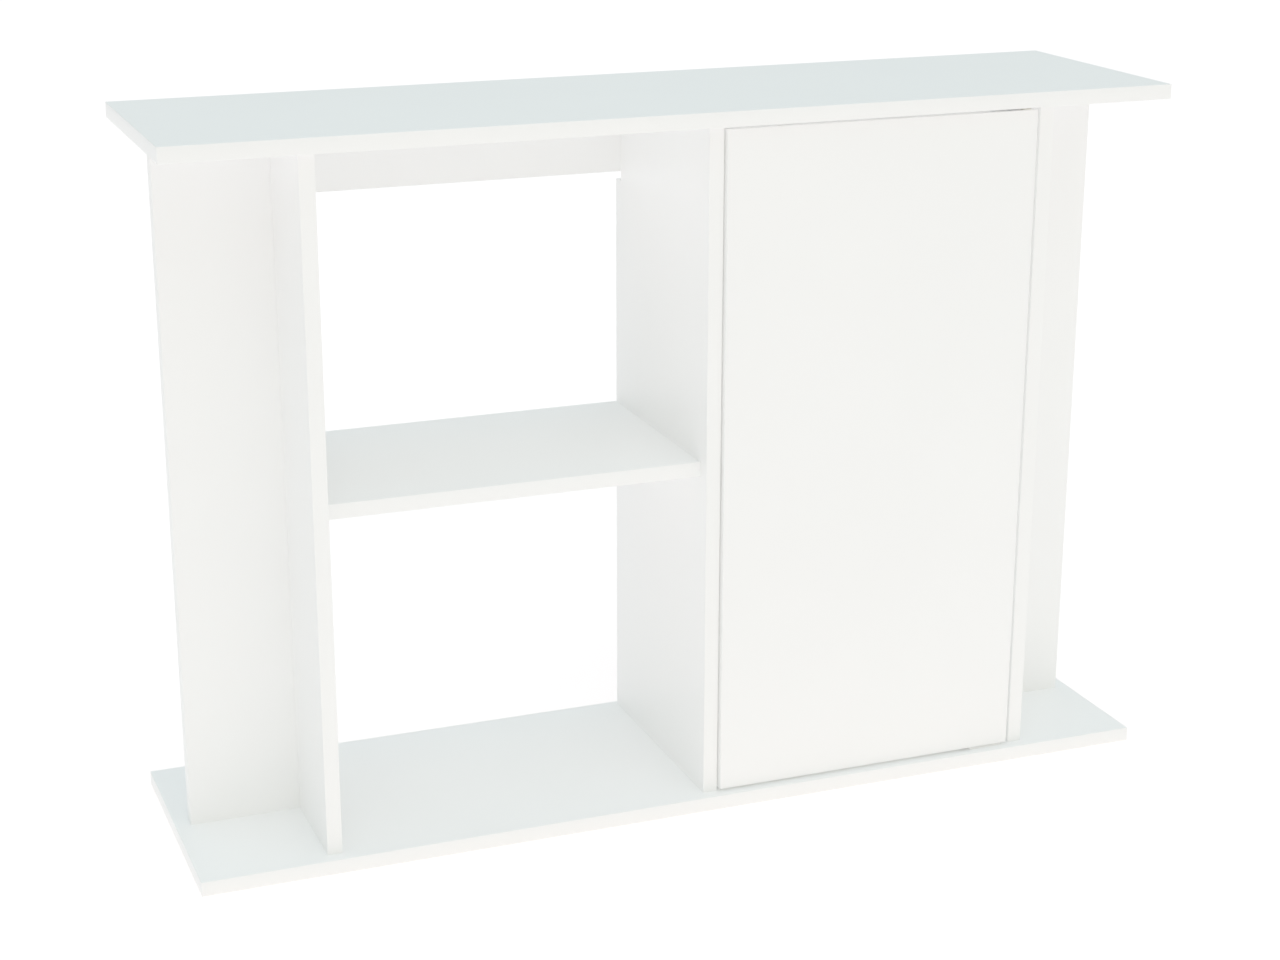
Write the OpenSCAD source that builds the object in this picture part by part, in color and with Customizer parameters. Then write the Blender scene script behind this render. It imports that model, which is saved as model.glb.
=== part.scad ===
// White melamine console cabinet: two full-width boards, three uprights, an open bay with a
// shelf, a bay closed by a handleless inset door, and a wing panel outside each end upright.
// The origin is on the floor at the middle of the footprint. +X is to the right, the front
// faces -Y, and +Z is up. All sizes are in millimetres.

/* [Overall] */
// Width of the top and bottom boards
cabinet_w = 1210; // [1150:10:1300]
// Depth of the top and bottom boards
cabinet_d = 320; // [310:5:360]
// Height from the floor to the top face
cabinet_h = 852; // [800:1:950]
// Thickness of every melamine board
board_t = 18; // [18:1:19]
// Thickness of the plastic edging strips
edging_t = 1; // [0.5:0.5:2]

/* [Uprights] */
// Width over the outer faces of the end uprights
carcass_w = 910; // [880:10:940]
// Distance from the middle upright's left face to the middle of the cabinet
middle_offset = 14.5; // [-20:0.5:40]
// Set-back of the uprights behind the boards' front edge
upright_front_setback = 16; // [8:1:24]
// Set-back of the uprights behind the boards' rear edge
upright_rear_setback = 5; // [0:1:10]

/* [Wings] */
// Set-back of the wings' outer edge from the ends of the boards
wing_end_setback = 18; // [6:1:30]
// Front face of the wings, measured from the middle of the depth
wing_front_y = -8.5; // [-40:0.5:20]

/* [Shelf and rail] */
// Height of the shelf's lower face above the floor
shelf_z = 418; // [380:1:460]
// Set-back of the shelf behind the uprights' front edge
shelf_setback = 18; // [10:1:40]
// Height of the back rail
rail_h = 99; // [80:1:120]
// Clearance below the rail in the uprights' notches
rail_notch_gap = 12; // [2:1:20]

/* [Door] */
// How far the door's face stands in front of the uprights
door_proud = 6; // [4:0.5:8]
// Gap between the door and the right upright, on the hinge side
door_gap_hinge = 6.5; // [5:0.5:8]
// Gap between the door and the middle upright
door_gap_latch = 2; // [2:0.5:4]
// Gap above the door
door_gap_top = 4; // [3.5:0.5:6]
// Gap below the door
door_gap_bottom = 3.5; // [3.5:0.5:5]

/* [Fittings] */
// Radius of a cam lock
cam_r = 7.35; // [7.2:0.05:7.4]
// Distance from a board's end to the middle of its cam lock
cam_reach = 24; // [24:1:26]
// Radius of the wooden dowels
dowel_r = 4; // [3:0.5:4]
// Length of the wooden dowels
dowel_len = 30; // [28:1:32]
// Distance of the door's pivot axis from its hinge edge
pivot_inset = 12; // [12:1:14]
// Height of the push latch above the floor
latch_z = 425; // [300:5:700]

/* [Hidden] */
$fn = 48;

slip = 0.05;               // radial clearance round a fitting that is pressed or screwed home
butt_gap = 0.1;            // joint between two strips of edging
overcut = 1;               // how far a cutting shape reaches past the face that it cuts

z_lo = board_t;            // upper face of the bottom board
z_hi = cabinet_h - board_t; // lower face of the top board
x_end = cabinet_w / 2;
y_front = -cabinet_d / 2;
y_back = cabinet_d / 2;

upright_y0 = y_front + upright_front_setback;
upright_y1 = y_back - upright_rear_setback;
upright_x = [-carcass_w / 2, middle_offset, carcass_w / 2 - board_t]; // left faces
rail_z0 = z_hi - rail_h;
rail_y0 = upright_y1 - board_t;
notch_z0 = rail_z0 - rail_notch_gap;

wing_x0 = carcass_w / 2;             // inner edge of a wing, mirrored for the left one
wing_x1 = x_end - wing_end_setback;  // outer edge
wing_y1 = wing_front_y + board_t;
shelf_x0 = upright_x[0] + board_t;
shelf_x1 = upright_x[1];
shelf_y0 = upright_y0 + shelf_setback;

// Colours
melamine = "whitesmoke";
edging_white = "white";
zinc = "silver";
lacquer = "snow";
beech = "burlywood";

// ---- helpers -------------------------------------------------------------------------------

// A box between its lowest and highest corners
module block(lo, hi) {
    translate(lo)
        cube(hi - lo);
}

// Rotation that turns +Z to one of the six axis directions
function facing(d) =
    d.x > 0.5 ? [0, 90, 0] : d.x < -0.5 ? [0, -90, 0] :
    d.y > 0.5 ? [-90, 0, 0] : d.y < -0.5 ? [90, 0, 0] :
    d.z < -0.5 ? [180, 0, 0] : [0, 0, 0];

// A round rod or bore that starts at a point and runs along an axis direction
module rod(at, dir, r, len) {
    translate(at)
        rotate(facing(dir))
            cylinder(h = len, r = r);
}

// ---- fittings ------------------------------------------------------------------------------
// A cam joint is [point on the joint plane, direction into the board that holds the cam,
// outward normal of the face that the cam is pressed into]. A dowel is the first two of these.

cam_depth = 13.5;          // depth of the bore for a cam lock
cam_bore_r = 7.5;
cam_h = 12.6;
cam_sink = 0.4;            // the cam's face lies this far below the board's face
bolt_thread_r = 2.5;
bolt_thread_len = 11;
bolt_shaft_r = 2.9;
bolt_bore_r = 3.6;
bolt_head = 2.6;           // half-length of the bolt's head, which the cam pulls on
cam_pocket_r = 3.3;        // pocket in the cam that the bolt's head sits in
cam_socket_r = 2.2;
cam_socket_depth = 2.6;
cap_r = 8.6;
cap_t = 1;
dowel_in_face = 12;        // length of a dowel in the face of the mating board
dowel_end_gap = 0.5;
dowel_chamfer = 0.8;
screw_end_gap = 0.5;       // room in a bore beyond the screw's tip

// Distances of the fittings from the front and rear edges of the uprights and the shelf
upright_cam_inset = [45, 60];
upright_dowel_inset = [84, 99];
shelf_cam_inset = 50;
shelf_dowel_inset = 82;

upright_cam_y = [upright_y0 + upright_cam_inset[0], upright_y1 - upright_cam_inset[1]];
upright_dowel_y = [upright_y0 + upright_dowel_inset[0], upright_y1 - upright_dowel_inset[1]];
upright_cam_side = [1, 1, -1];       // which face of each upright holds the cams
wing_mid_x = (wing_x0 + wing_x1) / 2;
wing_mid_y = wing_front_y + board_t / 2;
wing_dowel_dx = 42;                  // dowels either side of a wing's cam
wing_dowel_z = [300, 552];           // dowels between a wing and its upright
shelf_cam_y = [shelf_y0 + shelf_cam_inset, upright_y1 - shelf_cam_inset];
shelf_dowel_y = [shelf_y0 + shelf_dowel_inset, upright_y1 - shelf_dowel_inset];
rail_dowel_x = [-222, 234];
rail_screw_dz = [18, 66];            // height of the rail's screws above its lower edge
rail_screw_size = [4, 2, 44];        // head radius, shank radius and length
rail_mid_y = rail_y0 + board_t / 2;

// Joint plane and inward direction at the two ends of a standing board
ends = [[z_lo, 1], [z_hi, -1]];

function upright_mid(i) = upright_x[i] + board_t / 2;
function upright_cams(i) = [for (e = ends, y = upright_cam_y)
    [[upright_mid(i), y, e[0]], [0, 0, e[1]], [upright_cam_side[i], 0, 0]]];
function upright_dowels(i) = [for (e = ends, y = upright_dowel_y)
    [[upright_mid(i), y, e[0]], [0, 0, e[1]]]];
function wing_cams(side) = [for (e = ends)
    [[side * wing_mid_x, wing_mid_y, e[0]], [0, 0, e[1]], [0, 1, 0]]];
function wing_dowels(side) = [for (e = ends, k = [-1, 1])
    [[side * wing_mid_x + k * wing_dowel_dx, wing_mid_y, e[0]], [0, 0, e[1]]]];
function wing_side_dowels(side) = [for (z = wing_dowel_z)
    [[side * wing_x0, wing_mid_y, z], [side, 0, 0]]];
shelf_ends = [[shelf_x0, 1], [shelf_x1, -1]];
shelf_mid_z = shelf_z + board_t / 2;
function shelf_cams(k) = [for (y = shelf_cam_y)
    [[shelf_ends[k][0], y, shelf_mid_z], [shelf_ends[k][1], 0, 0], [0, 0, -1]]];
function shelf_dowels(k) = [for (y = shelf_dowel_y)
    [[shelf_ends[k][0], y, shelf_mid_z], [shelf_ends[k][1], 0, 0]]];
rail_dowels = [for (x = rail_dowel_x) [[x, rail_mid_y, z_hi], [0, 0, -1]]];

standing_cams = concat([for (i = [0:2]) each upright_cams(i)], wing_cams(-1), wing_cams(1));
all_cams = concat(standing_cams, shelf_cams(0), shelf_cams(1));
standing_dowels = concat([for (i = [0:2]) each upright_dowels(i)],
                         wing_dowels(-1), wing_dowels(1));
all_dowels = concat(standing_dowels, wing_side_dowels(-1), wing_side_dowels(1),
                    shelf_dowels(0), shelf_dowels(1), rail_dowels);

// The joints that lie in a horizontal plane
function at_end(joints, z) = [for (j = joints) if (abs(j[0].z - z) < board_t / 2) j];

// Bores in the board that holds a cam
module cam_bores(cams) {
    for (c = cams) {
        rod(c[0] - c[1] * overcut, c[1], bolt_bore_r, cam_reach + overcut);
        rod(c[0] + c[1] * cam_reach + c[2] * (board_t / 2 - cam_depth), c[2], cam_bore_r,
            cam_depth + overcut);
    }
}

// Bores in the board that the bolts are screwed into
module bolt_bores(cams) {
    for (c = cams)
        rod(c[0] - c[1] * (bolt_thread_len + dowel_end_gap), c[1], bolt_thread_r + slip,
            bolt_thread_len + dowel_end_gap + overcut);
}

// Bores for dowels, which cross the joint plane
module dowel_bores(dowels) {
    for (d = dowels)
        rod(d[0] - d[1] * (dowel_in_face + dowel_end_gap), d[1], dowel_r + slip,
            dowel_len + 2 * dowel_end_gap);
}

module cam_bolt(c) {
    neck_r = 1.6;
    collar_r = 3.4;
    collar_h = 1;
    tip = 1.5;             // length of the taper at the threaded end
    tip_r = 1.5;
    flat = 1;              // half the length of the head's widest part
    neck_len = 7;          // the neck that passes through the cam's wall
    neck = cam_reach - bolt_head - neck_len;
    translate(c[0])
        rotate(facing(c[1]))
            rotate_extrude()
                polygon([[0, -bolt_thread_len], [tip_r, -bolt_thread_len],
                         [bolt_thread_r, tip - bolt_thread_len], [bolt_thread_r, 0],
                         [collar_r, 0], [collar_r, collar_h], [bolt_shaft_r, collar_h],
                         [bolt_shaft_r, neck], [neck_r, neck],
                         [neck_r, cam_reach - bolt_head], [bolt_shaft_r, cam_reach - flat],
                         [bolt_shaft_r, cam_reach + flat], [neck_r, cam_reach + bolt_head],
                         [0, cam_reach + bolt_head]]);
}

module cam_lock(c) {
    slot_w = 1.2;
    slot_len = cam_r * 1.5;
    slot_depth = 1;
    head_play = 0.8;       // room beyond the bolt's head
    middle = c[0] + c[1] * cam_reach;
    face = middle + c[2] * (board_t / 2 - cam_sink);
    difference() {
        rod(face - c[2] * cam_h, c[2], cam_r, cam_h);
        rod(middle + c[1] * (bolt_head + head_play), -c[1], cam_pocket_r, cam_reach);
        rod(face - c[2] * cam_socket_depth, c[2], cam_socket_r, cam_socket_depth + overcut);
        translate(face)
            rotate(facing(c[2]))
                for (a = [0, 90])
                    rotate(a)
                        cube([slot_len, slot_w, 2 * slot_depth], center = true);
    }
}

module cam_cap(c) {
    plug_len = 2.4;
    plug_r = cam_socket_r - 0.1;
    bevel = 0.3;
    face = c[0] + c[1] * cam_reach + c[2] * (board_t / 2);
    translate(face)
        rotate(facing(c[2]))
            rotate_extrude()
                polygon([[0, -plug_len], [plug_r, -plug_len], [plug_r, 0],
                         [cap_r, 0], [cap_r, cap_t - bevel],
                         [cap_r - bevel, cap_t], [0, cap_t]]);
}

module dowel(d) {
    translate(d[0] - d[1] * dowel_in_face)
        rotate(facing(d[1]))
            rotate_extrude()
                polygon([[0, 0], [dowel_r - dowel_chamfer, 0], [dowel_r, dowel_chamfer],
                         [dowel_r, dowel_len - dowel_chamfer],
                         [dowel_r - dowel_chamfer, dowel_len], [0, dowel_len]]);
}

// A countersunk screw whose head is flush at a point and which runs along a direction. Its
// size is [head radius, shank radius, length].
module screw(at, dir, size) {
    head_r = size[0];
    shank_r = size[1];
    len = size[2];
    head_h = head_r - shank_r;
    recess_w = head_r / 5;
    recess_len = head_r * 1.1;
    recess_depth = head_h * 0.8;
    difference() {
        translate(at)
            rotate(facing(dir))
                rotate_extrude()
                    polygon([[0, 0], [head_r, 0], [shank_r, head_h],
                             [shank_r, len - 2 * shank_r], [0, len]]);
        translate(at)
            rotate(facing(dir))
                for (a = [0, 90])
                    rotate(a)
                        cube([recess_len, recess_w, 2 * recess_depth], center = true);
    }
}

// The bore that a countersunk screw fits
module screw_bore(at, dir, size) {
    head_r = size[0] + slip;
    shank_r = size[1] + slip;
    bottom = size[2] + screw_end_gap;
    translate(at)
        rotate(facing(dir))
            rotate_extrude()
                polygon([[0, -overcut], [head_r, -overcut], [head_r, 0],
                         [shank_r, head_r - shank_r + slip], [shank_r, bottom], [0, bottom]]);
}

// Either the screw or its bore
module screw_or_bore(as_bore, at, dir, size) {
    if (as_bore)
        screw_bore(at, dir, size);
    else
        screw(at, dir, size);
}

// ---- boards --------------------------------------------------------------------------------

module full_board(z0, drilled_end) {
    cams = at_end(standing_cams, drilled_end);
    dowels = at_end(concat(standing_dowels, rail_dowels), drilled_end);
    difference() {
        block([-x_end + edging_t, y_front + edging_t, z0],
              [x_end - edging_t, y_back - edging_t, z0 + board_t]);
        bolt_bores(cams);
        dowel_bores(dowels);
    }
}

module top_board() {
    color(melamine)
        difference() {
            full_board(z_hi, z_hi);
            board_screws(true);
        }
}

module bottom_board() {
    color(melamine)
        difference() {
            full_board(0, z_lo);
            board_screws(true);
        }
}

// The four edging strips of a full-width board
module full_board_edging(z0) {
    for (m = [0, 1]) {
        mirror([0, m, 0])
            block([-x_end, y_front, z0], [x_end, y_front + edging_t, z0 + board_t]);
        mirror([m, 0, 0])
            block([-x_end, y_front + edging_t + butt_gap, z0],
                  [-x_end + edging_t, y_back - edging_t - butt_gap, z0 + board_t]);
    }
}

module top_edging() {
    color(edging_white)
        full_board_edging(z_hi);
}

module bottom_edging() {
    color(edging_white)
        full_board_edging(0);
}

module rail_screw_set(i, as_bores) {
    for (dz = rail_screw_dz)
        screw_or_bore(as_bores, [upright_mid(i), upright_y1, rail_z0 + dz], [0, -1, 0],
                      rail_screw_size);
}

// An upright with the notch for the back rail and its own cam and dowel bores
module upright_body(i) {
    x0 = upright_x[i];
    difference() {
        block([x0, upright_y0 + edging_t, z_lo], [x0 + board_t, upright_y1, z_hi]);
        block([x0 - overcut, rail_y0, notch_z0],
              [x0 + board_t + overcut, upright_y1 + overcut, z_hi + overcut]);
        block([x0 - overcut, upright_y1 - edging_t, z_lo - overcut],
              [x0 + board_t + overcut, upright_y1 + overcut, z_hi + overcut]);
        cam_bores(upright_cams(i));
        dowel_bores(upright_dowels(i));
        rail_screw_set(i, true);
    }
}

module left_upright() {
    color(melamine)
        difference() {
            upright_body(0);
            bolt_bores(shelf_cams(0));
            dowel_bores(shelf_dowels(0));
            dowel_bores(wing_side_dowels(-1));
        }
}

module middle_upright() {
    color(melamine)
        difference() {
            upright_body(1);
            bolt_bores(shelf_cams(1));
            dowel_bores(shelf_dowels(1));
            latch_screw_set(true);
        }
}

module right_upright() {
    color(melamine)
        difference() {
            upright_body(2);
            dowel_bores(wing_side_dowels(1));
        }
}

// Front strips over the full height and rear strips below the notches
module upright_edging() {
    color(edging_white)
        for (x = upright_x) {
            block([x, upright_y0, z_lo], [x + board_t, upright_y0 + edging_t, z_hi]);
            block([x, upright_y1 - edging_t, z_lo], [x + board_t, upright_y1, notch_z0]);
        }
}

module wing(side) {
    color(melamine)
        difference() {
            mirror([side < 0 ? 1 : 0, 0, 0])
                block([wing_x0, wing_front_y, z_lo], [wing_x1 - edging_t, wing_y1, z_hi]);
            cam_bores(wing_cams(side));
            dowel_bores(wing_dowels(side));
            dowel_bores(wing_side_dowels(side));
        }
}

module left_wing() {
    wing(-1);
}

module right_wing() {
    wing(1);
}

module wing_edging() {
    color(edging_white)
        for (m = [0, 1])
            mirror([m, 0, 0])
                block([wing_x1 - edging_t, wing_front_y, z_lo], [wing_x1, wing_y1, z_hi]);
}

module shelf() {
    color(melamine)
        difference() {
            block([shelf_x0, shelf_y0 + edging_t, shelf_z],
                  [shelf_x1, upright_y1 - edging_t, shelf_z + board_t]);
            for (k = [0, 1]) {
                cam_bores(shelf_cams(k));
                dowel_bores(shelf_dowels(k));
            }
        }
}

module shelf_edging() {
    color(edging_white)
        for (y = [shelf_y0, upright_y1 - edging_t])
            block([shelf_x0, y, shelf_z], [shelf_x1, y + edging_t, shelf_z + board_t]);
}

module back_rail() {
    color(melamine)
        difference() {
            block([upright_x[0] + edging_t, rail_y0, rail_z0 + edging_t],
                  [carcass_w / 2 - edging_t, upright_y1, z_hi]);
            for (i = [0:2])
                rail_screw_set(i, true);
            dowel_bores(rail_dowels);
        }
}

// Strips under the rail and on its two ends
module rail_edging() {
    color(edging_white) {
        block([upright_x[0], rail_y0, rail_z0], [carcass_w / 2, upright_y1, rail_z0 + edging_t]);
        for (m = [0, 1])
            mirror([m, 0, 0])
                block([carcass_w / 2 - edging_t, rail_y0, rail_z0 + edging_t + butt_gap],
                      [carcass_w / 2, upright_y1, z_hi]);
    }
}

// ---- door ----------------------------------------------------------------------------------

door_x0 = upright_x[1] + board_t + door_gap_latch;
door_x1 = upright_x[2] - door_gap_hinge;
door_y0 = upright_y0 - door_proud;
door_y1 = door_y0 + board_t;
door_z0 = z_lo + door_gap_bottom;
door_z1 = z_hi - door_gap_top;

// Pivot hinges: a plate with a pin under the top board and on the bottom board, and a plate
// with a bush let into each end of the door
pivot = [door_x1 - pivot_inset, door_y0 + board_t / 2];
pin_r = 3;
pin_len = 15;              // length of pin inside the door
bush_r = 5;
bush_len = 17;
bush_end_gap = 0.5;        // room in the bore beyond the bush
bush_bore_slip = 0.05;     // running clearance round the pin
bush_flange_r = 6.5;
bush_flange_t = 1.2;
plate_w = 13;
plate_end_r = 3;
door_plate_t = 2;
door_plate_len = 62;
board_plate_t = 2;
board_plate_len = 46;
plate_screw_x = [-16, -30];          // screws of a board plate, from the pivot axis
door_screw_x = [-22, -44];           // screws of a door plate, from the pivot axis
board_screw = [3.1, 1.9, 15];        // head radius, shank radius and length
door_screw = [3.4, 1.9, 28];

// The two pivots: plane of the board, direction into the door, end plane of the door
pivots = [[z_lo, 1, door_z0], [z_hi, -1, door_z1]];

// A flat hinge plate with rounded corners, lying along -X from just beyond the pivot axis
module hinge_plate(length, thickness) {
    overhang = plate_w / 2;
    linear_extrude(thickness)
        union() {
            translate([overhang - length, plate_end_r - plate_w / 2])
                square([length, plate_w - 2 * plate_end_r]);
            translate([overhang - length + plate_end_r, -plate_w / 2])
                square([length - 2 * plate_end_r, plate_w]);
            for (x = [overhang - plate_end_r, overhang - length + plate_end_r])
                for (y = [plate_end_r - plate_w / 2, plate_w / 2 - plate_end_r])
                    translate([x, y])
                        circle(plate_end_r);
        }
}

// A door plate, or with some extra thickness the recess that it is let into
module door_plate_body(p, extra) {
    thickness = door_plate_t + extra;
    translate([pivot.x, pivot.y, p[1] > 0 ? p[2] - extra : p[2] + extra - thickness])
        hinge_plate(door_plate_len, thickness);
}

module door_screws(as_bores) {
    for (p = pivots, x = door_screw_x)
        screw_or_bore(as_bores, [pivot.x + x, pivot.y, p[2]], [0, 0, p[1]], door_screw);
}

module board_screws(as_bores) {
    for (p = pivots, x = plate_screw_x)
        screw_or_bore(as_bores, [pivot.x + x, pivot.y, p[0] + p[1] * board_plate_t],
                      [0, 0, -p[1]], board_screw);
}

module bush_bores() {
    for (p = pivots)
        rod([pivot.x, pivot.y, p[2] - p[1] * overcut], [0, 0, p[1]], bush_r + slip,
            bush_len + overcut + bush_end_gap);
}

// Everything that is cut out of the door's top and bottom edges
module door_edge_cuts() {
    for (p = pivots)
        door_plate_body(p, overcut);
    bush_bores();
    door_screws(true);
}

strike_r = 6.5;
strike_t = 1.2;
latch_standoff = 11.5;     // from the middle upright's face to the plunger's axis
latch_axis = [upright_x[1] + board_t + latch_standoff, latch_z];   // its x and z
strike_at = [latch_axis.x, door_y1 + strike_t, latch_axis.y];
strike_screw_size = [2.8, 1.5, 13];

module strike_fixing(as_bore) {
    screw_or_bore(as_bore, strike_at, [0, -1, 0], strike_screw_size);
}

module door_panel() {
    color(melamine)
        difference() {
            block([door_x0 + edging_t, door_y0, door_z0 + edging_t],
                  [door_x1 - edging_t, door_y1, door_z1 - edging_t]);
            door_edge_cuts();
            strike_fixing(true);
        }
}

module door_edging() {
    color(edging_white)
        difference() {
            union() {
                for (x = [door_x0, door_x1 - edging_t])
                    block([x, door_y0, door_z0], [x + edging_t, door_y1, door_z1]);
                for (z = [door_z0, door_z1 - edging_t])
                    block([door_x0 + edging_t + butt_gap, door_y0, z],
                          [door_x1 - edging_t - butt_gap, door_y1, z + edging_t]);
            }
            door_edge_cuts();
        }
}

module door_hinge_plates() {
    color(lacquer)
        difference() {
            for (p = pivots)
                door_plate_body(p, 0);
            bush_bores();
            door_screws(true);
        }
}

module door_plate_screws() {
    color(zinc)
        door_screws(false);
}

module hinge_bushes() {
    color("ivory")
        for (p = pivots)
            translate([pivot.x, pivot.y, p[2]])
                rotate(facing([0, 0, p[1]]))
                    rotate_extrude()
                        polygon([[pin_r + bush_bore_slip, -bush_flange_t],
                                 [bush_flange_r, -bush_flange_t], [bush_flange_r, 0],
                                 [bush_r, 0], [bush_r, bush_len],
                                 [pin_r + bush_bore_slip, bush_len]]);
}

module board_hinge_plates() {
    color(lacquer)
        difference() {
            for (p = pivots)
                translate([pivot.x, pivot.y, p[1] > 0 ? p[0] : p[0] - board_plate_t])
                    hinge_plate(board_plate_len, board_plate_t);
            for (p = pivots)
                rod([pivot.x, pivot.y, p[0] - p[1] * overcut], [0, 0, p[1]], pin_r + slip,
                    board_plate_t + 2 * overcut);
            board_screws(true);
        }
}

module board_plate_screws() {
    color(zinc)
        board_screws(false);
}

// A pin is riveted into its plate and ends inside the door's bush
module hinge_pins() {
    tip = 0.8;
    color("gainsboro")
        for (p = pivots) {
            reach = abs(p[2] - p[0]) + pin_len;
            translate([pivot.x, pivot.y, p[0]])
                rotate(facing([0, 0, p[1]]))
                    rotate_extrude()
                        polygon([[0, 0], [pin_r, 0], [pin_r, reach - tip],
                                 [pin_r - tip, reach], [0, reach]]);
        }
}

// ---- push latch ----------------------------------------------------------------------------
// A sprung magnetic plunger in a housing screwed to the middle upright. At rest the plunger is
// pushed home and its magnet holds the strike plate on the door.

latch_face_x = upright_x[1] + board_t;
latch_half_h = 8.5;
latch_gap = 5;             // from the door's back to the housing
latch_y0 = door_y1 + latch_gap;
latch_len = 72;
latch_base_t = 2.5;
latch_base_half_h = 20;
latch_base_inset = 16;     // from the housing's front to its base
latch_base_len = 28;
latch_base_y = [latch_y0 + latch_base_inset, latch_y0 + latch_base_inset + latch_base_len];
latch_screw_y = (latch_base_y[0] + latch_base_y[1]) / 2;
latch_screw_dz = 14;
latch_screw_size = [3.2, 1.7, 13];
plunger_r = 5;
plunger_slip = 0.05;
plunger_bore_len = 68;
strike_gap = 0.1;          // between the magnet and the strike plate
plunger_y0 = door_y1 + strike_t + strike_gap;
plunger_len = 46;
plunger_tip_r = 6.2;
plunger_tip_t = 1.6;
magnet_r = 4;
magnet_t = 3;
spring_r = 3.6;
spring_wire_r = 0.5;
spring_turns = 7;

module latch_screw_set(as_bores) {
    for (k = [-1, 1])
        screw_or_bore(as_bores, [latch_face_x + latch_base_t, latch_screw_y,
                                 latch_axis.y + k * latch_screw_dz], [-1, 0, 0],
                      latch_screw_size);
}

module latch_housing() {
    front = [latch_axis.x, latch_y0, latch_axis.y];
    color(edging_white)
        difference() {
            union() {
                block([latch_face_x, latch_y0, latch_axis.y - latch_half_h],
                      [latch_axis.x, latch_y0 + latch_len, latch_axis.y + latch_half_h]);
                rod(front, [0, 1, 0], latch_half_h, latch_len);
                block([latch_face_x, latch_base_y[0], latch_axis.y - latch_base_half_h],
                      [latch_face_x + latch_base_t, latch_base_y[1],
                       latch_axis.y + latch_base_half_h]);
            }
            rod(front - [0, overcut, 0], [0, 1, 0], plunger_r + plunger_slip,
                plunger_bore_len + overcut);
            latch_screw_set(true);
        }
}

module latch_screws() {
    color(zinc)
        latch_screw_set(false);
}

// The plunger's wide tip carries the magnet, and the spring pushes on its tail
module latch_plunger() {
    color("lightgray")
        translate([latch_axis.x, plunger_y0, latch_axis.y])
            rotate(facing([0, 1, 0]))
                rotate_extrude()
                    polygon([[0, magnet_t + slip], [magnet_r + slip, magnet_t + slip],
                             [magnet_r + slip, 0], [plunger_tip_r, 0],
                             [plunger_tip_r, plunger_tip_t], [plunger_r, plunger_tip_t],
                             [plunger_r, plunger_len], [0, plunger_len]]);
}

module latch_magnet() {
    color("dimgray")
        rod([latch_axis.x, plunger_y0, latch_axis.y], [0, 1, 0], magnet_r, magnet_t);
}

// A point on the spring's helix, and a ring of wire round it
spring_play = 1;           // room at each end of the spring
spring_len = plunger_bore_len + latch_y0 - (plunger_y0 + plunger_len) - 2 * spring_play;
spring_steps = 14;
wire_sides = 5;
function spring_point(k) =
    let (a = 360 * k / spring_steps)
    [spring_r * cos(a), spring_r * sin(a), spring_len * k / (spring_steps * spring_turns)];
function wire_ring(k) =
    let (a = 360 * k / spring_steps, c = spring_point(k))
    [for (j = [0:wire_sides - 1])
        let (b = 360 * j / wire_sides, r = spring_wire_r * cos(b))
        c + [r * cos(a), r * sin(a), spring_wire_r * sin(b)]];

module latch_spring() {
    rings = spring_steps * spring_turns;
    points = [for (k = [0:rings]) each wire_ring(k)];
    sides = [for (k = [0:rings - 1], j = [0:wire_sides - 1])
        let (n = (j + 1) % wire_sides)
        [k * wire_sides + j, k * wire_sides + n, (k + 1) * wire_sides + n,
         (k + 1) * wire_sides + j]];
    first = [for (j = [0:wire_sides - 1]) wire_sides - 1 - j];
    last = [for (j = [0:wire_sides - 1]) rings * wire_sides + j];
    color("silver")
        translate([latch_axis.x, plunger_y0 + plunger_len + spring_play, latch_axis.y])
            rotate(facing([0, 1, 0]))
                polyhedron(points, concat([first], sides, [last]));
}

module strike_plate() {
    bevel = 0.3;
    color(zinc)
        difference() {
            translate([latch_axis.x, door_y1, latch_axis.y])
                rotate(facing([0, 1, 0]))
                    rotate_extrude()
                        polygon([[0, 0], [strike_r, 0], [strike_r, strike_t - bevel],
                                 [strike_r - bevel, strike_t], [0, strike_t]]);
            strike_fixing(true);
        }
}

module strike_screw() {
    color(zinc)
        strike_fixing(false);
}

// ---- fastener nodes ------------------------------------------------------------------------

module cam_bolts() {
    color(zinc)
        for (c = all_cams)
            cam_bolt(c);
}

module cam_locks() {
    color(zinc)
        for (c = all_cams)
            cam_lock(c);
}

module cam_caps() {
    color(edging_white)
        for (c = all_cams)
            cam_cap(c);
}

module wooden_dowels() {
    color(beech)
        for (d = all_dowels)
            dowel(d);
}

module rail_screws() {
    color(zinc)
        for (i = [0:2])
            rail_screw_set(i, false);
}

top_board();
bottom_board();
left_upright();
middle_upright();
right_upright();
left_wing();
right_wing();
shelf();
back_rail();
top_edging();
bottom_edging();
upright_edging();
wing_edging();
shelf_edging();
rail_edging();
cam_bolts();
cam_locks();
cam_caps();
wooden_dowels();
rail_screws();
door_panel();
door_edging();
door_hinge_plates();
door_plate_screws();
hinge_bushes();
board_hinge_plates();
board_plate_screws();
hinge_pins();
latch_housing();
latch_screws();
latch_spring();
latch_plunger();
latch_magnet();
strike_plate();
strike_screw();
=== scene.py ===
import math

import bmesh
import bpy
from mathutils import Matrix, Vector


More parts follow.
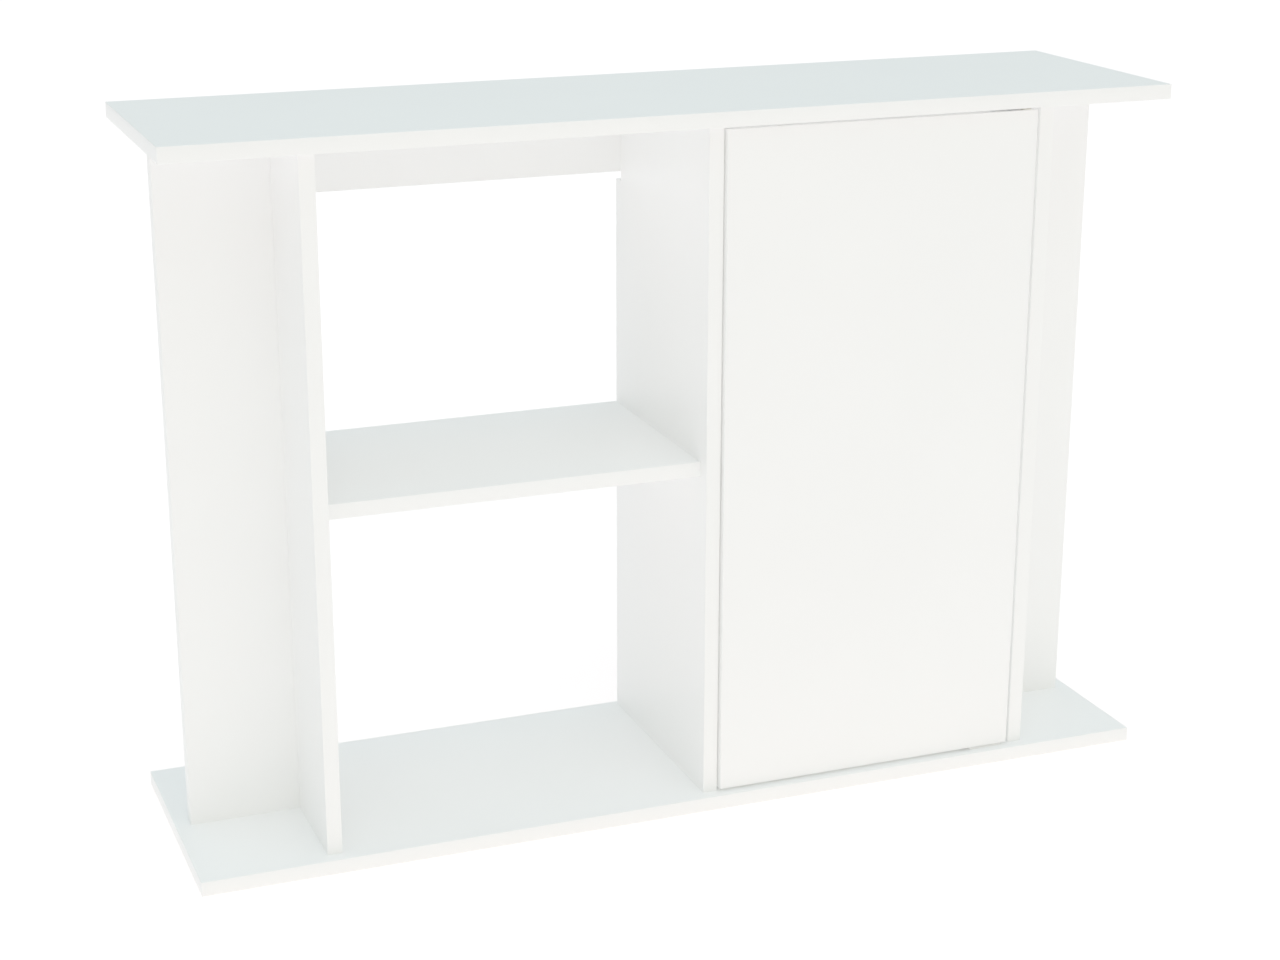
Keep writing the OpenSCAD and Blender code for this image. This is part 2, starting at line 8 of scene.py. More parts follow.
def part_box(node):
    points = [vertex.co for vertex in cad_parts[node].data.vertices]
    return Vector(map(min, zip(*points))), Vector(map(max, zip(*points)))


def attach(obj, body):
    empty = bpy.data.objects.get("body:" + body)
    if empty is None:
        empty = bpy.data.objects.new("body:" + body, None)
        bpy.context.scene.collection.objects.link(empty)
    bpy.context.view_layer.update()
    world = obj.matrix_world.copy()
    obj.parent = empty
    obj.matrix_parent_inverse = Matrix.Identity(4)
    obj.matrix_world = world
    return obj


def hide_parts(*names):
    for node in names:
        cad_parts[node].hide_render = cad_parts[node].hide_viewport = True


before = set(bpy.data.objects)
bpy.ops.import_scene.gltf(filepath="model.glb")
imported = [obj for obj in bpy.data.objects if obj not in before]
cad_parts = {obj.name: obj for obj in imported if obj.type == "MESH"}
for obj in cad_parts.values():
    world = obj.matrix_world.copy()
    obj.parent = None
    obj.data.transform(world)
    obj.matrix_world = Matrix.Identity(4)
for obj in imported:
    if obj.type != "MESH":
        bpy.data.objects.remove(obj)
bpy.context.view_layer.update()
SCENE = bpy.context.scene

MIX_FACTOR, MIX_FIRST, MIX_SECOND, MIX_RESULT = 0, 6, 7, 2   # colour sockets of a Mix node
WELD_DISTANCE = 1e-6              # metres, like the two distances below
SMOOTH_ANGLE = math.radians(32)
FLAT_ANGLE = math.radians(0.5)    # faces this close to one plane become a single face
ON_THE_BOX = 1e-5                 # how far from a box's side still counts as lying on it
LEVEL = 1e-6                      # difference in place that counts as none


def mm(value):
    return value * 0.001


# ---- camera, light and floor ---------------------------------------------------------------

CAMERA_PLACE = (-1.0205, -2.5994, 1.2752)   # metres
CAMERA_TILT = 72.145              # degrees up from straight down
CAMERA_HEADING = -21.0            # degrees, negative turns the view towards +X
CAMERA_LENS = 67.24               # mm on a sensor 36 mm wide
CAMERA_SHIFT = (0.0058, 0.0011)

# The studio's soft light comes from each side and from above, and each part of it fades away
# towards the directions at right angles to it
SIDE_TINT = (1.194, 1.0, 0.75)
SIDE_LIGHTS = [((0, -1, 0), 0.45), ((0, 1, 0), 0.15), ((-1, 0, 0), 0.06), ((1, 0, 0), 0.06)]
TOP_LIGHT = (0.853, 1.018, 1.083)
VIEW_GAMMA = 1.4                  # softens the shading, as the pale studio picture does
LIGHT_BOUNCES = 24                # carries light into the narrow gaps between white boards
FLOOR_SIZE = 30.0                 # metres
FLOOR_WHITE = 0.9
FLOOR_ROUGHNESS = 0.9
FLOOR_GLOW = (0.383, 0.313, 0.309)   # keeps the floor as white as the studio's paper


def add_camera():
    data = bpy.data.cameras.new("camera")
    data.sensor_width = 36
    data.lens = CAMERA_LENS
    data.shift_x, data.shift_y = CAMERA_SHIFT
    camera = bpy.data.objects.new("camera", data)
    camera.location = CAMERA_PLACE
    camera.rotation_euler = (math.radians(CAMERA_TILT), 0, math.radians(CAMERA_HEADING))
    SCENE.collection.objects.link(camera)
    SCENE.camera = camera


def add_sky():
    world = bpy.data.worlds.new("studio")
    world.use_nodes = True
    tree = world.node_tree

    def vector_math(operation, first, second):
        made = tree.nodes.new("ShaderNodeVectorMath")
        made.operation = operation
        for socket, value in zip(made.inputs, (first, second)):
            if isinstance(value, tuple):
                socket.default_value = value
            elif value is not None:
                tree.links.new(value, socket)
        return made

    direction = tree.nodes.new("ShaderNodeTexCoord").outputs["Generated"]
    lights = [(side, tuple(strength * t for t in SIDE_TINT)) for side, strength in SIDE_LIGHTS]
    total = (0, 0, 0)
    for side, colour in [*lights, ((0, 0, 1), TOP_LIGHT)]:
        facing = vector_math("DOT_PRODUCT", direction, side).outputs["Value"]
        share = tree.nodes.new("ShaderNodeClamp")
        tree.links.new(facing, share.inputs["Value"])
        tinted = vector_math("SCALE", colour, None)
        tree.links.new(share.outputs["Result"], tinted.inputs["Scale"])
        total = vector_math("ADD", tinted.outputs["Vector"], total).outputs["Vector"]
    # The camera itself sees plain white beyond the floor
    shown = tree.nodes.new("ShaderNodeMix")
    shown.data_type = "RGBA"
    seen = tree.nodes.new("ShaderNodeLightPath").outputs["Is Camera Ray"]
    tree.links.new(seen, shown.inputs[MIX_FACTOR])
    tree.links.new(total, shown.inputs[MIX_FIRST])
    shown.inputs[MIX_SECOND].default_value = (1, 1, 1, 1)
    tree.links.new(shown.outputs[MIX_RESULT], tree.nodes["Background"].inputs["Color"])
    SCENE.world = world


def add_floor():
    mesh = bpy.data.meshes.new("floor")
    half = FLOOR_SIZE / 2
    corners = [(-half, -half, 0), (half, -half, 0), (half, half, 0), (-half, half, 0)]
    mesh.from_pydata(corners, [], [(0, 1, 2, 3)])
    floor = bpy.data.objects.new("floor", mesh)
    SCENE.collection.objects.link(floor)
    material = bpy.data.materials.new("floor_white")
    material.use_nodes = True
    shader = material.node_tree.nodes["Principled BSDF"]
    shader.inputs["Base Color"].default_value = (FLOOR_WHITE, FLOOR_WHITE, FLOOR_WHITE, 1)
    shader.inputs["Roughness"].default_value = FLOOR_ROUGHNESS
    shader.inputs["Emission Color"].default_value = (*FLOOR_GLOW, 1)
    shader.inputs["Emission Strength"].default_value = 1
    mesh.materials.append(material)


# ---- materials -----------------------------------------------------------------------------

MELAMINE_WHITE = (0.965, 0.965, 0.962)
EDGING_WHITE = (0.965, 0.965, 0.96)
LACQUER_WHITE = (0.93, 0.93, 0.925)


class Surface:
    """A Principled material whose colour, roughness and bump come from noise in object space."""

    def __init__(self, name, metallic=0.0, specular=0.5):
        self.material = bpy.data.materials.new(name)
        self.material.use_nodes = True
        self.tree = self.material.node_tree
        self.shader = self.tree.nodes["Principled BSDF"]
        self.shader.inputs["Metallic"].default_value = metallic
        self.shader.inputs["Specular IOR Level"].default_value = specular
        self.coords = self.tree.nodes.new("ShaderNodeTexCoord").outputs["Object"]
        self.height = None

    def node(self, kind, **settings):
        made = self.tree.nodes.new(kind)
        for key, value in settings.items():
            setattr(made, key, value)
        return made

    def link(self, source, target):
        self.tree.links.new(source, target)

    def stretched(self, scale):
        """Object coordinates in millimetres, stretched by a scale along each axis."""
        mapping = self.node("ShaderNodeMapping")
        mapping.inputs["Scale"].default_value = [1000 / s for s in scale]
        self.link(self.coords, mapping.inputs["Vector"])
        return mapping.outputs["Vector"]

    def noise(self, scale, detail=3.0, roughness=0.55):
        """Noise whose features are about scale millimetres along each axis."""
        made = self.node("ShaderNodeTexNoise")
        made.inputs["Scale"].default_value = 1
        made.inputs["Detail"].default_value = detail
        made.inputs["Roughness"].default_value = roughness
        self.link(self.stretched(scale), made.inputs["Vector"])
        return made.outputs["Fac"]

    def cells(self, size):
        """The distance from the middle of cells about size millimetres across."""
        made = self.node("ShaderNodeTexVoronoi")
        made.inputs["Scale"].default_value = 1
        self.link(self.stretched((size, size, size)), made.inputs["Vector"])
        return made.outputs["Distance"]

    def colours(self, factor, stops):
        ramp = self.node("ShaderNodeValToRGB")
        elements = ramp.color_ramp.elements
        while len(elements) < len(stops):
            elements.new(0.5)
        for element, (place, colour) in zip(elements, stops):
            element.position = place
            element.color = (*colour, 1)
        self.link(factor, ramp.inputs["Fac"])
        self.link(ramp.outputs["Color"], self.shader.inputs["Base Color"])

    def roughness(self, factor, low, high):
        spread = self.node("ShaderNodeMapRange")
        spread.inputs["To Min"].default_value = low
        spread.inputs["To Max"].default_value = high
        self.link(factor, spread.inputs["Value"])
        self.link(spread.outputs["Result"], self.shader.inputs["Roughness"])

    def bump(self, factor, depth_mm, strength=1.0):
        made = self.node("ShaderNodeBump")
        made.inputs["Strength"].default_value = strength
        made.inputs["Distance"].default_value = mm(depth_mm)
        self.link(factor, made.inputs["Height"])
        if self.height is not None:
            self.link(self.height, made.inputs["Normal"])
        self.height = made.outputs["Normal"]
        self.link(self.height, self.shader.inputs["Normal"])


def near(colour, spread, places=(0.35, 0.65)):
    """Two stops a little darker and lighter than a colour."""
    return [(places[0], [c * (1 - spread) for c in colour]),
            (places[1], [min(1.0, c * (1 + spread)) for c in colour])]


def melamine():
    surface = Surface("melamine")
    surface.colours(surface.noise((220, 220, 220), detail=2), near(MELAMINE_WHITE, 0.006))
    surface.roughness(surface.noise((14, 14, 14)), 0.36, 0.46)
    surface.bump(surface.noise((0.9, 0.9, 0.9), detail=2), 0.012)
    surface.bump(surface.noise((60, 60, 60)), 0.02)
    return surface.material


def edging():
    """Extruded plastic strip, a little smoother than the boards."""
    surface = Surface("edging")
    surface.colours(surface.noise((160, 160, 160), detail=2), near(EDGING_WHITE, 0.006))
    surface.roughness(surface.noise((6, 6, 6)), 0.34, 0.46)
    surface.bump(surface.noise((1.2, 1.2, 1.2), detail=2), 0.008)
    return surface.material


def chipboard():
    """The pressed core, seen in bores and cut ends."""
    surface = Surface("chipboard", specular=0.3)
    chips = [(0.0, (0.24, 0.15, 0.08)), (0.45, (0.52, 0.37, 0.21)), (1.0, (0.70, 0.55, 0.36))]
    surface.colours(surface.cells(2.2), chips)
    surface.roughness(surface.noise((3, 3, 3)), 0.75, 0.95)
    surface.bump(surface.cells(1.4), 0.25)
    return surface.material


def metal(name, colour, low, high, grain):
    """Plated or cast metal: grain is the size of its marks along each axis, in millimetres."""
    surface = Surface(name, metallic=1.0)
    surface.colours(surface.noise((9, 9, 9)), near(colour, 0.06))
    surface.roughness(surface.noise(grain), low, high)
    surface.bump(surface.noise(grain), 0.008)
    return surface.material


def plastic(name, colour, low=0.3, high=0.42):
    """Moulded plastic with a fine spark-eroded texture."""
    surface = Surface(name)
    surface.colours(surface.noise((12, 12, 12)), near(colour, 0.012))
    surface.roughness(surface.noise((4, 4, 4)), low, high)
    surface.bump(surface.noise((0.35, 0.35, 0.35)), 0.008)
    return surface.material


def lacquer():
    """White lacquer on steel, with a slight orange-peel surface."""
    surface = Surface("lacquer")
    surface.colours(surface.noise((8, 8, 8)), near(LACQUER_WHITE, 0.008))
    surface.roughness(surface.noise((3, 3, 3)), 0.28, 0.4)
    surface.bump(surface.noise((1.6, 1.6, 1.6), detail=2), 0.012)
    return surface.material


def beech():
    surface = Surface("beech", specular=0.3)
    tones = [(0.3, (0.50, 0.34, 0.19)), (0.7, (0.68, 0.50, 0.31))]
    surface.colours(surface.noise((0.8, 0.8, 0.8)), tones)
    surface.roughness(surface.noise((2, 2, 2)), 0.6, 0.75)
    surface.bump(surface.noise((0.3, 0.3, 0.3)), 0.03)
    return surface.material


def magnet():
    surface = Surface("magnet", metallic=0.4)
    surface.colours(surface.noise((0.5, 0.5, 0.5)), near((0.05, 0.05, 0.055), 0.25))
    surface.roughness(surface.noise((0.8, 0.8, 0.8)), 0.45, 0.65)
    surface.bump(surface.noise((0.25, 0.25, 0.25)), 0.02)
    return surface.material


MELAMINE = melamine()
EDGING = edging()
CHIPBOARD = chipboard()
ZINC = metal("zinc_plate", (0.62, 0.64, 0.67), 0.22, 0.36, (1.5, 1.5, 1.5))
NICKEL = metal("nickel_plate", (0.66, 0.65, 0.62), 0.20, 0.34, (40, 0.25, 0.25))
CAST = metal("die_cast", (0.44, 0.45, 0.47), 0.42, 0.58, (0.5, 0.5, 0.5))
SPRING_WIRE = metal("spring_wire", (0.42, 0.43, 0.45), 0.2, 0.34, (0.4, 0.4, 0.4))
CAP_PLASTIC = plastic("cap_plastic", (0.82, 0.82, 0.81))
LATCH_WHITE = plastic("latch_white", (0.80, 0.80, 0.79))
ACETAL = plastic("acetal", (0.60, 0.60, 0.60))
NYLON = plastic("nylon", (0.78, 0.76, 0.68), 0.38, 0.5)
LACQUER = lacquer()
BEECH = beech()
MAGNET = magnet()


# ---- mesh helpers --------------------------------------------------------------------------

def shape_of(node):
    """A CAD node's shape as a bmesh with whole flat faces and shared corners."""
    shape = bmesh.new()
    shape.from_mesh(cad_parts[node].data)
    bmesh.ops.remove_doubles(shape, verts=shape.verts, dist=WELD_DISTANCE)
    bmesh.ops.dissolve_limit(shape, angle_limit=FLAT_ANGLE, verts=shape.verts,
                             edges=shape.edges)
    return shape


def at_extreme(value, low, high):
    return min(abs(value - low), abs(value - high)) < ON_THE_BOX


def box_edges(shape, low, high):
    """The edges of a shape that lie along the twelve edges of a box."""
    found = []
    for edge in shape.edges:
        a, b = (v.co for v in edge.verts)
        shared = sum(at_extreme(a[k], low[k], high[k]) and abs(a[k] - b[k]) < LEVEL
                     for k in range(3))
        if shared >= 2:
            found.append(edge)
    return found


def bevel(shape, edges, radius, segments=2):
    bmesh.ops.bevel(shape, geom=edges, offset=radius, segments=segments, profile=0.5,
                    affect="EDGES", clamp_overlap=True)


def parts_of(node):
    """The separate solids of a CAD node, each as the list of its corners."""
    shape = shape_of(node)
    seen, found = set(), []
    for start in shape.verts:
        if start in seen:
            continue
        seen.add(start)
        group, queue = [], [start]
        while queue:
            vertex = queue.pop()
            group.append(vertex.co.copy())
            for edge in vertex.link_edges:
                other = edge.other_vert(vertex)
                if other not in seen:
                    seen.add(other)
                    queue.append(other)
        found.append(group)
    shape.free()
    return found


def corners(points):
    low = Vector([min(p[k] for p in points) for k in range(3)])
    high = Vector([max(p[k] for p in points) for k in range(3)])
    return low, high


WIDEST_SHARE = 0.995              # corners this near the largest radius mark a part's wide end


def turned_parts(node):
    """Where each round solid of a node is: (middle of its wide end, direction, length, radius)."""
    found = []
    for points in parts_of(node):
        low, high = corners(points)
        size = high - low
        axis = max(range(3), key=lambda k: abs(size[k] - sorted(size)[1]))
        middle = (low + high) / 2
        across = [k for k in range(3) if k != axis]
        radii = [math.hypot(p[across[0]] - middle[across[0]], p[across[1]] - middle[across[1]])
                 for p in points]
        radius = max(radii)
        wide = [p[axis] for p, r in zip(points, radii) if r > radius * WIDEST_SHARE]
        sign = 1 if sum(wide) / len(wide) < middle[axis] + LEVEL else -1
        direction = Vector([sign if k == axis else 0 for k in range(3)])
        start = middle - direction * size[axis] / 2
        found.append((start, direction, size[axis], radius))
    return found


def ring_stack(rings):
    """A closed round solid from a list of rings, each a list of corners in turn."""
    shape = bmesh.new()
    loops = [[shape.verts.new(p) for p in ring] for ring in rings]
    count = len(loops[0])
    for lower, upper in zip(loops, loops[1:]):
        for k in range(count):
            j = (k + 1) % count
            shape.faces.new((lower[k], lower[j], upper[j], upper[k]))
    shape.faces.new(list(reversed(loops[0])))
    shape.faces.new(loops[-1])
    return shape


def lathe(profile, steps=48, ripple=None):
    """A solid of revolution about +Z. The profile is (radius, height) in millimetres, from the
    bottom up. ripple(radius, height, angle) may change the radius."""
    rings = []
    for radius, height in profile:
        ring = []
        for k in range(steps):
            angle = 2 * math.pi * k / steps
            r = ripple(radius, height, angle) if ripple else radius
            ring.append((mm(r) * math.cos(angle), mm(r) * math.sin(angle), mm(height)))
        rings.append(ring)
    return ring_stack(rings)


def hollow_lathe(profile, steps=48):
    """A ring about +Z from a closed profile of (radius, height) corners in millimetres."""
    shape = bmesh.new()
    rings = []
    for radius, height in profile:
        rings.append([shape.verts.new((mm(radius) * math.cos(2 * math.pi * k / steps),
                                       mm(radius) * math.sin(2 * math.pi * k / steps),
                                       mm(height))) for k in range(steps)])
    for a in range(len(rings)):
        b = (a + 1) % len(rings)
        for k in range(steps):
            j = (k + 1) % steps
            shape.faces.new((rings[a][k], rings[a][j], rings[b][j], rings[b][k]))
    return shape


def mesh_from(shape, name):
    bmesh.ops.recalc_face_normals(shape, faces=shape.faces)
    for face in shape.faces:
        face.smooth = True
    for edge in shape.edges:
        if len(edge.link_faces) == 2 and edge.calc_face_angle(0) > SMOOTH_ANGLE:
            edge.smooth = False
    mesh = bpy.data.meshes.new(name)
    shape.to_mesh(mesh)
    shape.free()
    return mesh


def piece(name, mesh, node, body, material=None):
    """A finished piece that stands for one CAD node."""
    made = bpy.data.objects.new(name, mesh)
    SCENE.collection.objects.link(made)
    if material is not None:
        mesh.materials.append(material)
    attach(made, body)
    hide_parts(node)


def placed_copies(template, node, name):
    """One mesh with a copy of a template at every round solid of a node."""
    shape = bmesh.new()
    for start, direction, _, _ in turned_parts(node):
        turn = direction.to_track_quat("Z", "Y").to_matrix().to_4x4()
        copy = template.copy()
        bmesh.ops.transform(copy, matrix=Matrix.Translation(start) @ turn, verts=copy.verts)
        scratch = bpy.data.meshes.new("scratch")
        copy.to_mesh(scratch)
        copy.free()
        shape.from_mesh(scratch)
        bpy.data.meshes.remove(scratch)
    template.free()
    return mesh_from(shape, name)


def cut(mesh, cutter):
    """mesh with the shape of another mesh cut away."""
    block = bpy.data.objects.new("block", mesh)
    tool = bpy.data.objects.new("tool", cutter)
    for made in (block, tool):
        SCENE.collection.objects.link(made)
    difference = block.modifiers.new("cut", "BOOLEAN")
    difference.operation = "DIFFERENCE"
    difference.solver = "EXACT"
    difference.object = tool
    shown = block.evaluated_get(bpy.context.evaluated_depsgraph_get())
    shape = bmesh.new()
    shape.from_mesh(shown.to_mesh())
    for made in (block, tool):
        bpy.data.objects.remove(made)
    return shape


# ---- boards and edging ---------------------------------------------------------------------

BOARD_EASE = 0.12                 # the hairline where a board meets its edging
EDGING_ROUND = 0.7                # the scraped outer edges of an edging strip
NOTCH_AREA = 1e-4                 # square metres: larger flat cuts are faced, smaller are bores
SIDE_ON = 0.3                     # a face that points this much through the board is a side
TOUCHING = 0.0003                 # metres between a board and a strip that still touches it
CABINET_BOARDS = ["top_board", "bottom_board", "left_upright", "middle_upright",
                  "right_upright", "left_wing", "right_wing", "shelf", "back_rail"]
# Edging node, its body, the boards that it surrounds and the axes along which its outer edges
# are scraped round
EDGINGS = [
    ("top_edging", "cabinet", ["top_board"], "xyz"),
    ("bottom_edging", "cabinet", ["bottom_board"], "xyz"),
    ("upright_edging", "cabinet", ["left_upright", "middle_upright", "right_upright"], "z"),
    ("wing_edging", "cabinet", ["left_wing", "right_wing"], "z"),
    ("shelf_edging", "cabinet", ["shelf"], "x"),
    ("rail_edging", "cabinet", ["back_rail"], "xyz"),
    ("door_edging", "door", ["door_panel"], "xyz"),
]


def is_faced(face, low, high, thin):
    """Whether a board's face is laminated: its two sides and large cuts, but not its ends."""
    if abs(face.normal[thin]) > SIDE_ON:
        side = min(abs(face.center[thin] - low[thin]), abs(face.center[thin] - high[thin]))
        return side < mm(BOARD_EASE)
    axis = max(range(3), key=lambda k: abs(face.normal[k]))
    inside = not at_extreme(face.center[axis], low[axis], high[axis])
    return inside and face.area > NOTCH_AREA


def add_board(node, body):
    """A melamine board with eased edges, and its chipboard core showing in every bore."""
    low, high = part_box(node)
    thin = min(range(3), key=lambda k: high[k] - low[k])
    shape = shape_of(node)
    bevel(shape, box_edges(shape, low, high), mm(BOARD_EASE), segments=1)
    mesh = mesh_from(shape, node + "_melamine")
    mesh.materials.append(MELAMINE)
    mesh.materials.append(CHIPBOARD)
    for face in mesh.polygons:
        face.material_index = 0 if is_faced(face, low, high, thin) else 1
    piece(node + "_melamine", mesh, node, body)


def edged_box(board, strips):
    """The box of a board together with the edging strips that touch it."""
    low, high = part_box(board)
    touching = [corners(points) for points in strips]
    touching = [(a, b) for a, b in touching
                if all(a[k] < high[k] + TOUCHING and b[k] > low[k] - TOUCHING for k in range(3))]
    low = [min([low[k]] + [a[k] for a, _ in touching]) for k in range(3)]
    high = [max([high[k]] + [b[k] for _, b in touching]) for k in range(3)]
    return low, high


def add_edging(node, body, boards, axes):
    strips = parts_of(node)
    shape = shape_of(node)
    rounded = []
    for board in boards:
        low, high = edged_box(board, strips)
        for edge in box_edges(shape, low, high):
            run = edge.verts[1].co - edge.verts[0].co
            if "xyz"[max(range(3), key=lambda k: abs(run[k]))] in axes:
                rounded.append(edge)
    bevel(shape, rounded, mm(EDGING_ROUND), segments=4)
    piece(node + "_strips", mesh_from(shape, node), node, body, EDGING)


# ---- fittings ------------------------------------------------------------------------------

THREAD_PITCH = 1.8
THREAD_STEPS = 8                  # rings in each turn of a thread
THREAD_SHARPNESS = 2.2            # how fast a thread's flank rises to its crest
CROSS_ARM = 0.52                  # arm of a cross recess, as a share of the head's radius
CROSS_WIDTH = 0.11                # half its width
CROSS_DEPTH = 0.75                # and its depth


def thread_heights(low, high):
    count = max(2, round((high - low) / THREAD_PITCH * THREAD_STEPS))
    return [low + (high - low) * k / count for k in range(count + 1)]


def helix_ripple(low, high, depth):
    """Cuts a thread into the radius between two heights, fading out at both ends."""
    def ripple(radius, height, angle):
        if not low < height < high:
            return radius
        turn = (height / THREAD_PITCH - angle / (2 * math.pi)) % 1
        fade = min(1, (height - low) / THREAD_PITCH, (high - height) / THREAD_PITCH)
        return radius - depth * fade * min(1, THREAD_SHARPNESS * abs(2 * turn - 1))
    return ripple


def cross_cutter(radius, depth):
    """A tapered cross that points along +Z from just outside a head's face."""
    arm, width = radius * CROSS_ARM, radius * CROSS_WIDTH
    outline = []
    for quarter in range(4):
        c, s = [(1, 0), (0, 1), (-1, 0), (0, -1)][quarter]
        for x, y in ((width, -width), (arm, -width), (arm, width)):
            outline.append((x * c - y * s, x * s + y * c))
    outside, point = -0.5, 0.35   # where it starts, and its size at the bottom
    rings = [(1.0, outside), (1.0, 0.0), (point, depth)]
    return ring_stack([[(mm(x * f), mm(y * f), mm(z)) for x, y in outline] for f, z in rings])


def crossed(shape, radius, depth):
    """A head with a cross recess cut into its face."""
    return cut(mesh_from(shape, "head"), mesh_from(cross_cutter(radius, depth), "cross"))


def countersunk_screw(head_r, shank_r, length):
    """Its head's face is at the origin and it runs along +Z."""
    lip, neck, point_r = 0.15, 1.2, 0.12
    head_h = head_r - shank_r
    plain = head_h + neck
    tip = 2.4 * shank_r
    heights = thread_heights(plain, length - tip)
    profile = [(head_r - lip, 0), (head_r, lip), (shank_r + 0.2, head_h), (shank_r, head_h + 0.3)]
    profile += [(shank_r, z) for z in heights]
    profile += [(shank_r * 0.85, length - 0.6 * tip), (shank_r * 0.5, length - 0.25 * tip),
                (point_r, length)]
    depth = shank_r * 0.26
    shape = lathe(profile, 24, helix_ripple(plain, length - tip, depth))
    return crossed(shape, head_r, head_h * CROSS_DEPTH)


def cam_bolt():
    """Threaded foot, collar, smooth shaft, and the necked head that the cam pulls on."""
    foot, thread_r, shaft_r, collar_r, neck_r, length = 11, 2.5, 2.9, 3.4, 1.6, 37.6
    head_len, neck_len = 5.2, 7.0
    thread_low, thread_high, thread_depth = 1.6, foot - 0.4, 0.45
    ball = length - head_len
    neck = ball - neck_len
    profile = [(1.2, 0), (thread_r * 0.8, 0.8)]
    profile += [(thread_r, z) for z in thread_heights(thread_low, thread_high)]
    profile += [(thread_r, foot), (collar_r - 0.15, foot), (collar_r, foot + 0.15),
                (collar_r, foot + 0.85), (collar_r - 0.15, foot + 1), (shaft_r, foot + 1.1),
                (shaft_r, neck - 0.4), (shaft_r - 0.3, neck), (neck_r, neck + 0.6),
                (neck_r, ball), (2.3, ball + 0.7), (shaft_r, ball + 1.6), (shaft_r, ball + 3.2),
                (2.5, ball + 4.2), (1.6, length)]
    return lathe(profile, 28, helix_ripple(thread_low, thread_high, thread_depth))


def cam_cap():
    """A low domed cap: its outer face is at the origin and its plug points along +Z."""
    radius, rim, plug_r, plug_end = 8.6, 1.0, 2.1, 3.4
    dome = [(1.2, 0.12), (1.7, 0.02), (3.5, 0.0), (5.5, 0.05), (7.2, 0.16), (8.1, 0.32),
            (8.5, 0.55), (radius, 0.8), (radius, rim)]
    plug = [(plug_r + 0.3, rim), (plug_r, rim + 0.3), (plug_r, plug_end - 0.4),
            (plug_r - 0.4, plug_end)]
    return lathe(dome + plug, 56)


def fluted_dowel():
    radius, length, chamfer, flutes, depth = 4.0, 30.0, 0.8, 18, 0.28

    def ripple(r, height, angle):
        if r < radius:
            return r
        return r - depth * (0.5 - 0.5 * math.cos(flutes * angle)) ** 2
    profile = [(radius - chamfer, 0), (radius - 0.25, chamfer * 0.55), (radius, chamfer + 0.4),
               (radius, length / 2), (radius, length - chamfer - 0.4),
               (radius - 0.25, length - chamfer * 0.55), (radius - chamfer, length)]
    return lathe(profile, flutes * 6, ripple)


def hinge_pin(length):
    radius, tip = 3.0, 0.8
    return lathe([(radius, 0), (radius, length - tip), (radius - 0.15, length - tip * 0.6),
                  (radius - 0.45, length - tip * 0.2), (radius - tip, length)], 40)


def hinge_bush(length):
    """A flanged bush: the flange's outer face is at the origin."""
    bore, barrel, flange, flange_t, ease = 3.05, 5.0, 6.5, 1.2, 0.2
    return hollow_lathe([(bore + ease, 0), (flange - ease, 0), (flange, ease),
                         (flange, flange_t), (barrel + 0.15, flange_t), (barrel, flange_t + 0.15),
                         (barrel, length - 0.5), (barrel - 0.4, length), (bore + ease, length),
                         (bore, length - ease), (bore, ease)], 48)


def plunger(length):
    """A plunger with a cup for its magnet in the wide tip at the origin."""
    cup, cup_depth, tip, tip_t, body = 4.05, 3.05, 6.2, 1.6, 5.0
    return lathe([(cup, cup_depth), (cup, 0.15), (cup + 0.15, 0), (tip - 0.35, 0),
                  (tip, 0.35), (tip, tip_t - 0.25), (tip - 0.25, tip_t), (body + 0.2, tip_t),
                  (body, tip_t + 0.2), (body, length - 0.8), (body - 0.8, length)], 48)


def magnet_disc(radius, length):
    ease = 0.25
    return lathe([(radius - ease, 0), (radius, ease), (radius, length - ease),
                  (radius - ease, length)], 48)


def add_turned(name, node, body, material, template):
    """Copies of a turned shape wherever the node has one. template gets (radius, length)."""
    _, _, length, radius = turned_parts(node)[0]
    shape = template(radius * 1000, length * 1000)
    piece(name, placed_copies(shape, node, name), node, body, material)


def add_spring():
    """The latch's spring, a coil of wire wound a little closer towards its two ends."""
    turns, wire, sides, steps, closing = 7, 0.5, 12, 36, 0.045
    low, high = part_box("latch_spring")
    centre = (low + high) / 2
    radius = min(high.x - low.x, high.z - low.z) / 2 - mm(wire)
    start, run = low.y + mm(wire), high.y - low.y - 2 * mm(wire)
    rings = []
    for k in range(turns * steps + 1):
        share = k / (turns * steps)
        angle = 2 * math.pi * turns * share
        eased = share - closing * math.sin(2 * math.pi * share)
        out = Vector((math.cos(angle), 0, math.sin(angle)))
        middle = Vector((centre.x, start + run * eased, centre.z)) + out * radius
        rings.append([tuple(middle + mm(wire) * (out * math.cos(2 * math.pi * j / sides)
                                                 + Vector((0, math.sin(2 * math.pi * j / sides),
                                                           0))))
                      for j in range(sides)])
    mesh = mesh_from(ring_stack(rings), "latch_spring_coil")
    piece("latch_spring_coil", mesh, "latch_spring", "cabinet", SPRING_WIRE)


def add_eased(name, node, body, material, radius, segments=2):
    """A CAD node's shape with every sharp edge eased."""
    shape = shape_of(node)
    sharp = [e for e in shape.edges
             if len(e.link_faces) == 2 and e.calc_face_angle(0) > SMOOTH_ANGLE]
    bevel(shape, sharp, mm(radius), segments)
    piece(name, mesh_from(shape, name), node, body, material)


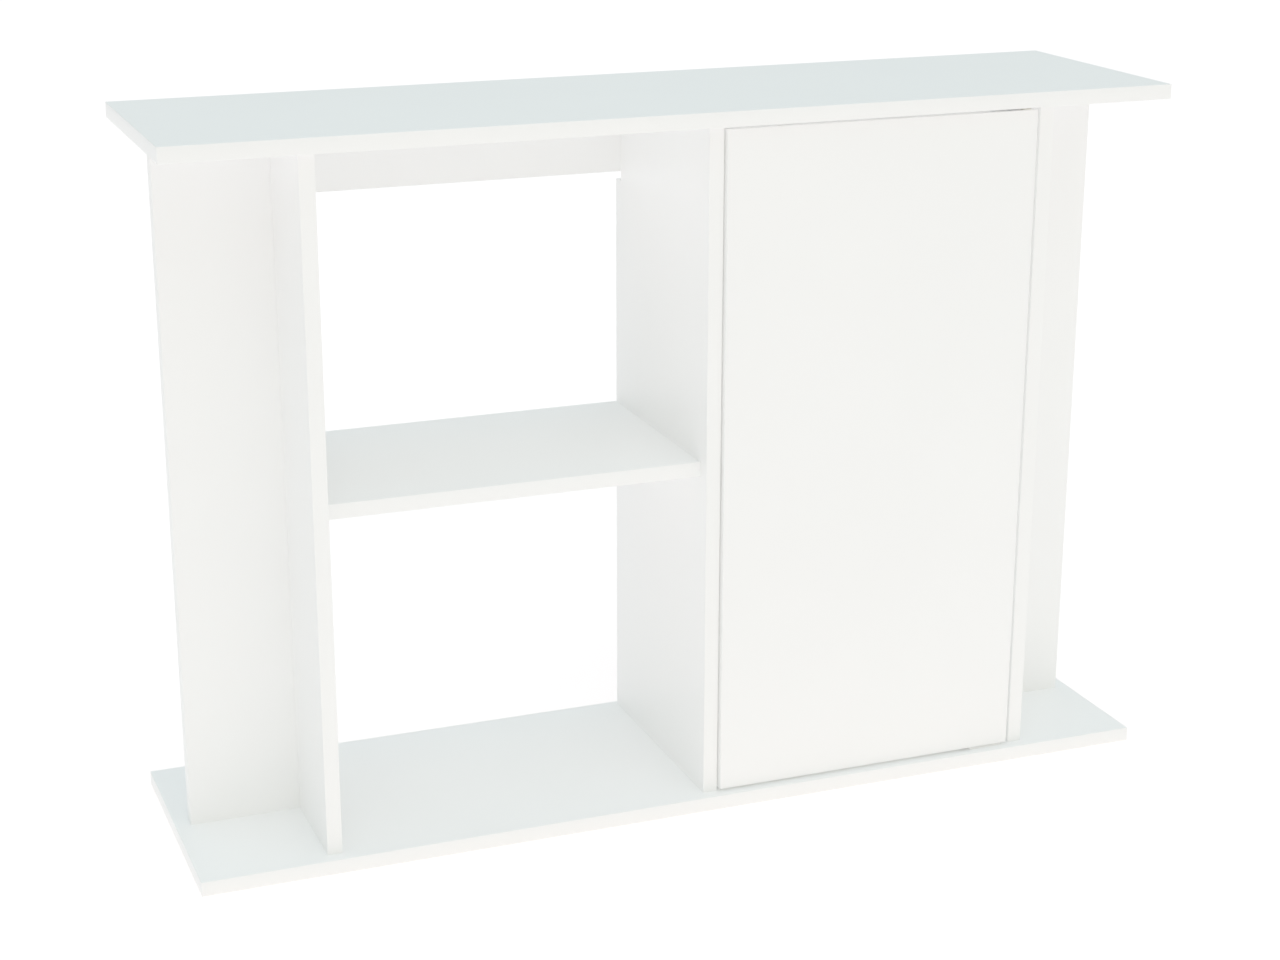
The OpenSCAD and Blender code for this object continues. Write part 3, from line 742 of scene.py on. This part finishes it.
SHANK = {"rail_screws": 2.0, "board_plate_screws": 1.9, "door_plate_screws": 1.9,
         "latch_screws": 1.7, "strike_screw": 1.5}


def add_screws(node, body):
    add_turned(node + "_threaded", node, body, ZINC,
               lambda radius, length: countersunk_screw(radius, SHANK[node], length))


def add_fittings():
    add_screws("rail_screws", "cabinet")
    add_screws("board_plate_screws", "cabinet")
    add_screws("latch_screws", "cabinet")
    add_screws("door_plate_screws", "door")
    add_screws("strike_screw", "door")
    add_turned("cam_bolt_set", "cam_bolts", "cabinet", ZINC,
               lambda radius, length: cam_bolt())
    add_turned("cam_cap_set", "cam_caps", "cabinet", CAP_PLASTIC,
               lambda radius, length: cam_cap())
    add_turned("fluted_dowel_set", "wooden_dowels", "cabinet", BEECH,
               lambda radius, length: fluted_dowel())
    add_turned("hinge_pin_pair", "hinge_pins", "cabinet", NICKEL,
               lambda radius, length: hinge_pin(length))
    add_turned("hinge_bush_pair", "hinge_bushes", "door", NYLON,
               lambda radius, length: hinge_bush(length))
    add_turned("latch_plunger_rod", "latch_plunger", "plunger", ACETAL,
               lambda radius, length: plunger(length))
    add_turned("latch_magnet_disc", "latch_magnet", "plunger", MAGNET, magnet_disc)
    add_eased("cam_lock_set", "cam_locks", "cabinet", CAST, 0.1, 1)
    add_eased("board_hinge_plate_pair", "board_hinge_plates", "cabinet",
              LACQUER, 0.15)
    add_eased("door_hinge_plate_pair", "door_hinge_plates", "door", LACQUER,
              0.15)
    add_eased("latch_body", "latch_housing", "cabinet", LATCH_WHITE, 0.3)
    add_eased("strike_disc", "strike_plate", "door", ZINC, 0.1)
    add_spring()


add_camera()
add_sky()
add_floor()
SCENE.view_settings.view_transform = "Standard"
SCENE.view_settings.gamma = VIEW_GAMMA
SCENE.cycles.max_bounces = LIGHT_BOUNCES
SCENE.cycles.diffuse_bounces = LIGHT_BOUNCES

for board_node in CABINET_BOARDS:
    add_board(board_node, "cabinet")
add_board("door_panel", "door")
for edging_facts in EDGINGS:
    add_edging(*edging_facts)
add_fittings()
